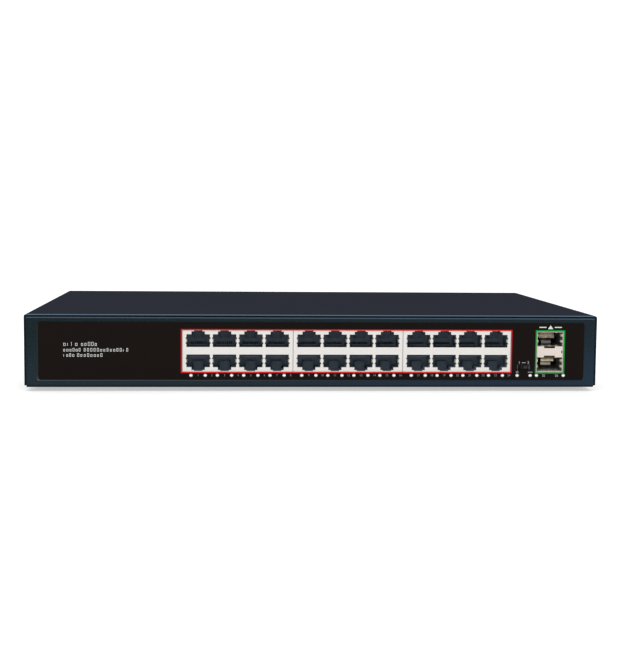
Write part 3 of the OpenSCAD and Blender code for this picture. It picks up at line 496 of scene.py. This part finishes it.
def softened(node, bevel_mm, body=CHASSIS, others=(), pick=None):
    """A copy of a CAD node with its seams welded and its sharp edges rounded, which stands for the node.

    pick says from a face's centre and normal which material it takes: 0 is the node's own, 1 and 2 are
    the first and second of others.
    """
    mesh = frame["nodes"][node].data.copy()
    shape = bmesh.new()
    shape.from_mesh(mesh)
    bmesh.ops.remove_doubles(shape, verts=shape.verts, dist=SEAM)
    bmesh.ops.dissolve_limit(shape, angle_limit=FLAT_ANGLE, verts=shape.verts, edges=shape.edges)
    if bevel_mm:
        sharp = [e for e in shape.edges if e.is_manifold and e.calc_face_angle(0) > BEVEL_ANGLE]
        bmesh.ops.bevel(shape, geom=sharp, offset=bevel_mm * MM, segments=2, profile=0.5,
                        affect="EDGES", clamp_overlap=True)
    if pick:
        for face in shape.faces:
            face.material_index = pick(face.calc_center_median(), face.normal)
    thing = link(node + "_shape", mesh)
    dress(thing, SLOT_OF[node], *others)
    shape.to_mesh(mesh)                         # after the slots, because emptying them resets the faces
    shape.free()
    mesh.shade_smooth()
    mesh.set_sharp_from_angle(angle=SMOOTH_ANGLE)
    flat = thing.modifiers.new("flat_faces", "WEIGHTED_NORMAL")
    flat.keep_sharp = True
    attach(thing, body)
    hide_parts(node)


def piece(name, shape, material, body=CHASSIS, smooth=False):
    """Turns a bmesh into a piece that rides on a body."""
    bmesh.ops.remove_doubles(shape, verts=shape.verts, dist=WELD)
    bmesh.ops.recalc_face_normals(shape, faces=shape.faces)
    mesh = bpy.data.meshes.new(name)
    shape.to_mesh(mesh)
    shape.free()
    if smooth:
        mesh.shade_smooth()
        mesh.set_sharp_from_angle(angle=SMOOTH_ANGLE)
    thing = link(name, mesh)
    dress(thing, material)
    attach(thing, body)
    return thing


# ---------- shapes for printing and springs ----------

PRINT_T = 0.02 * MM                             # how far printing stands out
PRINT_DEPTH = 1.5 * PRINT_T                     # its whole depth, a third of it sunk in
DIGIT_SHARE = 0.72                              # a digit's height as a share of the font's size


def add_prism(shape, outline, low, high, place):
    """Adds a closed prism: outline is a list of (a, b), and place puts (a, b, low or high) into space."""
    first = [shape.verts.new(place(a, b, low)) for a, b in outline]
    last = [shape.verts.new(place(a, b, high)) for a, b in outline]
    shape.faces.new(first)
    shape.faces.new(last[::-1])
    for i in range(len(outline)):
        j = (i + 1) % len(outline)
        shape.faces.new((first[j], first[i], last[i], last[j]))


def on_label(a, b, depth):
    """Printing on the overlay: a is X, b is Z, and depth runs into the overlay."""
    return a, LABEL_LOW.y - PRINT_T + depth, b


def on_pipes(a, b, depth):
    """The same on the noses of the light pipes."""
    return a, PIPE_FRONT_Y - PRINT_T + depth, b


def on_rear(a, b, depth):
    """The same on the rear panel."""
    return a, REAR_Y + PRINT_T - depth, b


def bar(x, z, w, h):
    """Outline of a bar from its middle."""
    return [(x - w / 2, z - h / 2), (x + w / 2, z - h / 2), (x + w / 2, z + h / 2), (x - w / 2, z + h / 2)]


def ring(x, z, outer, inner, start=0.0, turn=2 * math.pi, steps=24, flat=1.0):
    """Outlines of the short pieces that make a ring, or the part of it that turn covers.

    flat below 1 lowers the inner edge into an ellipse.
    """
    angles = [start + turn * i / steps for i in range(steps + 1)]
    for a, b in zip(angles, angles[1:]):
        yield [(x + r * math.cos(t), z + rise * r * math.sin(t))
               for r, rise, t in ((inner, flat, a), (outer, 1, a), (outer, 1, b), (inner, flat, b))]


def printed(name, outlines, material, place=on_label):
    shape = bmesh.new()
    for outline in outlines:
        add_prism(shape, outline, 0, PRINT_DEPTH, place)
    piece(name, shape, material)


def window_line(low_x, high_x, low_z, high_z, line):
    """Outlines of a rectangular line whose inner edge is on the given sides, in millimetres."""
    x0, x1, z0, z1, t = low_x * MM, high_x * MM, under(low_z), under(high_z), line * MM
    middle_x, middle_z = (x0 + x1) / 2, (z0 + z1) / 2
    yield bar(middle_x, z1 + t / 2, x1 - x0 + 2 * t, t)
    yield bar(middle_x, z0 - t / 2, x1 - x0 + 2 * t, t)
    yield bar(x0 - t / 2, middle_z, t, z1 - z0)
    yield bar(x1 + t / 2, middle_z, t, z1 - z0)


def numerals(name, marks, digit_mm, material):
    """Printed numbers: marks are (text, x, z) with x and z the middle of each number."""
    upright = Matrix.Rotation(math.pi / 2, 4, "X")
    shape = bmesh.new()
    for text, x, z in marks:
        curve = bpy.data.curves.new("numeral", "FONT")
        curve.body = text
        curve.size = digit_mm * MM / DIGIT_SHARE
        curve.align_x = "CENTER"
        curve.align_y = "CENTER"
        curve.extrude = PRINT_T / 2
        holder = link("numeral", curve)
        shown = holder.evaluated_get(bpy.context.evaluated_depsgraph_get())
        mesh = bpy.data.meshes.new_from_object(shown)
        mesh.transform(Matrix.Translation((x, LABEL_LOW.y - PRINT_T / 2, z)) @ upright)
        shape.from_mesh(mesh)
        bpy.data.objects.remove(holder)
        bpy.data.meshes.remove(mesh)
    piece(name, shape, material)


def ribbon(points, thickness):
    """Outline of a bent strip of sheet that follows the points."""
    sides = []
    for i, point in enumerate(points):
        before = points[max(i - 1, 0)]
        after = points[min(i + 1, len(points) - 1)]
        run = Vector((after[0] - before[0], after[1] - before[1])).normalized() * thickness / 2
        sides.append(((point[0] - run.y, point[1] + run.x), (point[0] + run.y, point[1] - run.x)))
    return [left for left, _ in sides] + [right for _, right in reversed(sides)]


def eased(points, steps=5):
    """A smooth line through the points, as a Catmull-Rom curve."""
    ends = [points[0], *points, points[-1]]
    line = [points[0]]
    for a, b, c, d in zip(ends, ends[1:], ends[2:], ends[3:]):
        for i in range(1, steps + 1):
            t = i / steps
            line.append(tuple(0.5 * (2 * q + (r - p) * t + (2 * p - 5 * q + 4 * r - s) * t * t
                                     + (3 * q - p - 3 * r + s) * t ** 3) for p, q, r, s in zip(a, b, c, d)))
    return line


# ---------- printing on the overlay ----------

# Windows' coloured lines, in millimetres: left, right, low and high inner sides and the line's width
JACK_WINDOW = (-80.35, 121.5, 9.5, 34.95, 0.65)
CAGE_WINDOW = (137.5, 154.4, 9.3, 34.7, 0.72)

# Numbers: their places and sizes, in the same terms as the lights' places
NEXT_NUMERAL = 8.3                              # from an odd jack's number to the even one's
PORT_DIGIT, SLOT_DIGIT, MODE_DIGIT = 1.3, 1.5, 1.8
SLOT_NUMERALS = {"25": 142.2, "26": 150.4}
SLOT_NUMERALS_Z = 7.3
MODE_NUMERALS = {"1": 126.9, "2": 132.5}
MODE_LEGEND_Z = 15.3

# Rows of boxes for a block of text: height of the row's foot, height of its boxes, widths of its words
TEXT_ROWS = ((25.3, 2.3, (9.4, 10.2)), (21.9, 2.0, (11.0, 27.4)), (18.7, 2.0, (7.0, 15.9)))
TEXT_LEFT = -151.5
WORD_GAP = 1.2
BOX_LINE = 0.24 * MM
BOX_PITCH = 0.98                                # as a share of the row's height
BOX_WIDTHS = (0.48, 0.6)                        # least and most, as shares of the pitch
LOW_BOX = 0.72                                  # as a share of the row's height
TALL_CHANCE, BOX_CHANCE = 0.4, 0.85             # of a full height, and of a box instead of a bar

CAGE_LEGEND_Z = 37.25
STATUS_LEGEND_Z = 9.45
PIPE_RIM_OUTER, PIPE_RIM_INNER, PIPE_RIM_FLAT = 1.04 * MM, 0.96 * MM, 0.72


def print_outlines():
    printed("jack_outline", window_line(*JACK_WINDOW), "print_red")
    printed("cage_outline", window_line(*CAGE_WINDOW), "print_green")


def print_port_numbers():
    z = under(LIGHT_Z)
    marks = []
    for column, x in enumerate(JACK_COLUMNS):
        marks.append((str(2 * column + 1), x, z))
        marks.append((str(2 * column + 2), x + NEXT_NUMERAL * MM, z))
    numerals("port_numerals", marks, PORT_DIGIT, "print_grey")


def print_numbers(name, places, height_mm, digit_mm):
    """Prints a row of numbers whose places are X in millimetres."""
    marks = [(text, x * MM, under(height_mm)) for text, x in places.items()]
    numerals(name, marks, digit_mm, "print_silver")


def word_blocks(x, z, width, height, dice):
    """Outlines of a row of small empty boxes and bars that stands for a printed word."""
    pitch = BOX_PITCH * height
    count = max(1, round(width / pitch))
    for i in range(count):
        tall = height if dice.random() < TALL_CHANCE else LOW_BOX * height
        w = pitch * dice.uniform(*BOX_WIDTHS)
        left = x + i * width / count
        yield bar(left + BOX_LINE / 2, z + tall / 2, BOX_LINE, tall)
        if dice.random() < BOX_CHANCE:
            yield bar(left + w - BOX_LINE / 2, z + tall / 2, BOX_LINE, tall)
            yield bar(left + w / 2, z + tall - BOX_LINE / 2, w - 2 * BOX_LINE, BOX_LINE)
            yield bar(left + w / 2, z + BOX_LINE / 2, w - 2 * BOX_LINE, BOX_LINE)


def print_text_rows():
    dice = random.Random(5)
    blocks = []
    for foot, height, words in TEXT_ROWS:
        x = TEXT_LEFT
        for width in words:
            blocks += word_blocks(x * MM, under(foot), width * MM, height * MM, dice)
            x += width + WORD_GAP
    printed("legend_blocks", blocks, "print_white")


def print_cage_legend():
    """A bar, a triangle and a bar above the cage."""
    z = under(CAGE_LEGEND_Z)
    half, foot, peak = 1.7 * MM, 1.1 * MM, 1.2 * MM
    out, length, stroke = 4.8 * MM, 4.4 * MM, 0.6 * MM
    arrow = [(CAGE_X - half, z - foot), (CAGE_X + half, z - foot), (CAGE_X, z + peak)]
    sides = [bar(CAGE_X + side * out, z, length, stroke) for side in (-1, 1)]
    printed("cage_legend", [arrow, *sides], "print_white")


def print_status_legend():
    """A power sign, three dots for the system light and a dash between the switch's numbers."""
    z = under(STATUS_LEGEND_Z)
    x = STATUS_X["power"] * MM
    start, turn = math.radians(125), math.radians(290)          # leaves a gap at the top for the stem
    power = list(ring(x, z, 0.75 * MM, 0.5 * MM, start, turn, steps=16))
    power.append(bar(x, z + 0.55 * MM, w=0.25 * MM, h=0.8 * MM))
    x = STATUS_X["system"] * MM
    dots = [bar(x + step * MM, z, w=0.7 * MM, h=0.45 * MM) for step in (-1, 0, 1)]
    x = sum(MODE_NUMERALS.values()) / len(MODE_NUMERALS) * MM
    dash = bar(x, under(MODE_LEGEND_Z), w=2.4 * MM, h=0.35 * MM)
    printed("status_legend", [*power, *dots, dash], "print_silver")


def shade_pipe_rims():
    """The painted shade round the bright middle of every light pipe's nose."""
    lights = [x + side * LIGHT_HALF * MM for x in JACK_COLUMNS for side in (-1, 1)]
    lights += [x * MM for x in STATUS_X.values()]
    rims = []
    for x in lights:
        rims += ring(x, under(LIGHT_Z), PIPE_RIM_OUTER, PIPE_RIM_INNER, flat=PIPE_RIM_FLAT)
    printed("light_pipe_rims", rims, "pipe_rim", on_pipes)


# ---------- module cage: springs ----------

SLOT_FLOORS = {"lower": CAGE_LOW.z + CAGE_WALL, "upper": DIVIDER_HIGH.z}
SLOT_CEILINGS = {"lower": DIVIDER_LOW.z, "upper": CAGE_HIGH.z - CAGE_WALL}
SPRING_T = 0.3 * MM

# Profiles seen from the side: mm behind the mouth, and mm above the ceiling or the spring's own middle
LATCH_PATHS = {
    "lower": [(11, -0.2), (9.2, -0.6), (7.8, -1.3), (7.0, -2.1), (7.2, -3.1)],
    "upper": [(9, -0.2), (7.6, -0.9), (7.0, -2.4), (7.2, -4.2)],
}
LATCH_SIDES = {"lower": (4.0, 4.0), "upper": (5.6, 4.0)}        # mm to the left and right of the middle
LATCH_FINISH = {"lower": "latch_spring", "upper": "latch_shadowed"}
BACK_PATH = [(12.8, -1.35), (11.2, -0.8), (10.8, 0.0), (11.2, 0.8), (12.8, 1.35)]
BACK_SIDES = (3.1, 3.1)
BACK_HEIGHT = {"lower": 3.9, "upper": 1.6}                      # mm from the slot's floor to the middle
BACK_FINISH = {"lower": "latch_back", "upper": "latch_back_shadowed"}

# Profile seen from above: mm behind the mouth, and mm out from the wall
SIDE_PATH = [(0.1, -0.1), (1.4, -0.75), (3.0, -0.9), (6.5, -0.1)]
SIDE_HEIGHTS = (2.4, 6.1)
SIDE_WIDTH = 1.5

FLOOR_SPRINGS = (-4.2, 0.0, 4.4)                # mm to the right of the cage's middle
CEILING_SPRINGS = (-4.2, 4.4)                   # the latch hangs between them
POINT_FOOT = ((-1.0, 0.2), (1.0, 0.2), (0.8, 6.5), (-0.8, 6.5))    # mm from its middle and the mouth
POINT_HALF, POINT_BEHIND, POINT_RISE = 0.3, 2.6, 0.75           # half width, place and height of its peak


def sheet_spring(name, path, base, sides, finish):
    """A bent strip of sheet that runs across the cage's middle, with its profile above base."""
    line = [(CAGE_LOW.y + y * MM, base + z * MM) for y, z in eased(path)]
    left, right = sides
    shape = bmesh.new()
    add_prism(shape, ribbon(line, SPRING_T), CAGE_X - left * MM, CAGE_X + right * MM,
              lambda y, z, x: (x, y, z))
    piece(name, shape, finish, smooth=True)


def cage_latches():
    """A tongue that hangs from the top of each slot and holds a module's latch."""
    for slot, ceiling in SLOT_CEILINGS.items():
        sheet_spring("cage_latch_" + slot, LATCH_PATHS[slot], ceiling, LATCH_SIDES[slot], LATCH_FINISH[slot])


def cage_back_springs():
    """The bowed spring at the back of each slot that pushes a module out."""
    for slot, floor in SLOT_FLOORS.items():
        middle = floor + BACK_HEIGHT[slot] * MM
        sheet_spring("cage_back_spring_" + slot, BACK_PATH, middle, BACK_SIDES, BACK_FINISH[slot])


def cage_side_springs():
    """Two grounding springs a slot on each side wall, bowed into the slot."""
    wall = (CAGE_HIGH.x - CAGE_LOW.x) / 2 - CAGE_WALL
    shape = bmesh.new()
    for floor in SLOT_FLOORS.values():
        for side in (-1, 1):
            path = [(CAGE_X + side * (wall + out * MM), CAGE_LOW.y + y * MM) for y, out in eased(SIDE_PATH)]
            for height in SIDE_HEIGHTS:
                low = floor + height * MM
                add_prism(shape, ribbon(path, SPRING_T / 2), low, low + SIDE_WIDTH * MM,
                          lambda x, y, z: (x, y, z))
    piece("cage_side_springs", shape, "divider_nickel", smooth=True)


def add_pointed_spring(shape, middle, base, up):
    """Adds a pointed spring on a floor, or under a ceiling where up is -1."""
    foot = [shape.verts.new((middle + x * MM, CAGE_LOW.y + y * MM, base)) for x, y in POINT_FOOT]
    peak = [shape.verts.new((middle + x * MM, CAGE_LOW.y + POINT_BEHIND * MM, base + up * POINT_RISE * MM))
            for x in (POINT_HALF, -POINT_HALF)]
    shape.faces.new(foot)
    shape.faces.new((foot[0], foot[1], peak[0], peak[1]))
    shape.faces.new((foot[1], foot[2], peak[0]))
    shape.faces.new((foot[2], foot[3], peak[1], peak[0]))
    shape.faces.new((foot[3], foot[0], peak[1]))


def cage_floor_springs():
    """Pointed grounding springs on the floor and ceiling of each slot, for the CAD's plain ones."""
    shape = bmesh.new()
    for slot, floor in SLOT_FLOORS.items():
        for x in FLOOR_SPRINGS:
            add_pointed_spring(shape, CAGE_X + x * MM, floor, 1)
        for x in CEILING_SPRINGS:
            add_pointed_spring(shape, CAGE_X + x * MM, SLOT_CEILINGS[slot], -1)
    thing = piece("cage_floor_springs", shape, "divider_inside_shade")
    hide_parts("module_cage_fingers")


# ---------- rear: printed symbols ----------

# The rocker's face: its tilt at rest, and its profile's half length and heights above the pivot
ROCKER_TILT = math.radians(10)
ROCKER_HALF = 7.9 * MM
ROCKER_RISE = 4.2 * MM                          # at the ends
ROCKER_DIP = 2.9 * MM                           # in the middle


def print_earth_symbol():
    """The usual earth sign beside the ground screw."""
    screw = MOUNTS["ground_terminal"]["pos_m"]
    x, z = screw[0] - 8 * MM, screw[2]
    stroke = 0.4 * MM
    lines = [bar(x, z + 1.6 * MM, w=stroke, h=2.4 * MM)]
    lines += [bar(x, z + (0.4 - 0.9 * i) * MM, w=(3.6 - 1.2 * i) * MM, h=stroke) for i in range(3)]
    printed("earth_symbol", lines, "print_white", on_rear)


def rocker_marks():
    """The off and on marks, laid on the upper and lower halves of the rocker's face."""
    pivot = Vector(JOINTS["power_rocker_pivot"]["pos_m"])
    slope = math.atan2(ROCKER_RISE - ROCKER_DIP, ROCKER_HALF)
    lift = ROCKER_DIP * math.cos(slope) + PRINT_T

    def on_half(side):
        turn = Matrix.Rotation(ROCKER_TILT, 4, "X") @ Matrix.Rotation(-side * slope, 4, "X")
        return lambda a, b, depth: pivot + turn @ Vector((a, lift - depth, side * b))

    middle = ROCKER_HALF * 0.52
    shape = bmesh.new()
    for outline in ring(0, middle, outer=1.5 * MM, inner=1.05 * MM):
        add_prism(shape, outline, 0, PRINT_DEPTH, on_half(1))
    add_prism(shape, bar(0, middle, w=0.5 * MM, h=3.0 * MM), 0, PRINT_DEPTH, on_half(-1))
    piece("rocker_marks", shape, "print_white", ROCKER)


# ---------- the CAD nodes' own finish, with painted light and shade in the cage ---

FACING = 0.5                                    # least part of a normal along an axis to count as facing it
TAB_NEAR, TAB_FAR = 0.35 * MM, 3.5 * MM         # how far behind the shield's face its spring tabs lie
SHIELD_MARGIN = 0.6 * MM                        # between the tabs and the shield's top and foot
RIM_DEPTH = 0.1 * MM
PLATE_DEPTH = 0.3 * MM


def shield_finish(centre, normal):
    """Brass for the faces of the spring tabs beside the mouths."""
    deep = SHIELD_LOW.y + TAB_NEAR < centre.y < SHIELD_LOW.y + TAB_FAR
    inside = SHIELD_LOW.z + SHIELD_MARGIN < centre.z < SHIELD_HIGH.z - SHIELD_MARGIN
    return int(deep and inside and abs(normal.x) > FACING)


def cage_finish_and_shade(centre, normal):
    """Bright nickel for the rim of the cage's mouth, and painted shade on the inside of its right wall."""
    if centre.y < CAGE_LOW.y + RIM_DEPTH:
        return 1
    return 2 if normal.x < -FACING and centre.x > CAGE_X else 0


def divider_finish_and_shade(centre, normal):
    """Painted shade behind the front plate, and darker painted shade on the faces where the sheets end behind the
    notches.
    """
    if centre.y < DIVIDER_LOW.y + PLATE_DEPTH:
        return 0
    return 2 if normal.y < -FACING else 1


def soften_nodes():
    softened("base_tray", 0.22)
    softened("top_cover", 0.2)
    for block in (1, 2, 3):
        softened(f"jack_shield_{block}", 0.03, others=["spring_brass"], pick=shield_finish)
        softened(f"jack_housing_{block}", 0)
    softened("front_label", 0.06)
    softened("module_cage", 0.08, others=["divider_nickel", "cage_wall"], pick=cage_finish_and_shade)
    softened("module_cage_divider", 0.12, others=["divider_inside_shade", "divider_edge_shade"], pick=divider_finish_and_shade)
    softened("rubber_feet", 0.5)
    softened("inlet_body", 0.3)
    softened("power_switch_body", 0.3)
    softened("power_rocker", 0.4, ROCKER)
    softened("cover_screws", 0.08)
    softened("ground_screw", 0.2)
    for block in (1, 2, 3, "status"):
        softened(f"light_pipes_{block}", 0.15)


case_materials()
jack_and_cage_materials()
inner_materials()
ink_materials()

make_camera()
make_light()
make_floor()
bpy.context.scene.view_settings.view_transform = "Standard"

dress_cad_nodes()
soften_nodes()
print_outlines()
print_port_numbers()
print_numbers("slot_numerals", SLOT_NUMERALS, SLOT_NUMERALS_Z, SLOT_DIGIT)
print_numbers("mode_numerals", MODE_NUMERALS, MODE_LEGEND_Z, MODE_DIGIT)
print_text_rows()
print_cage_legend()
print_status_legend()
shade_pipe_rims()
print_earth_symbol()
cage_latches()
cage_back_springs()
cage_side_springs()
cage_floor_springs()
rocker_marks()
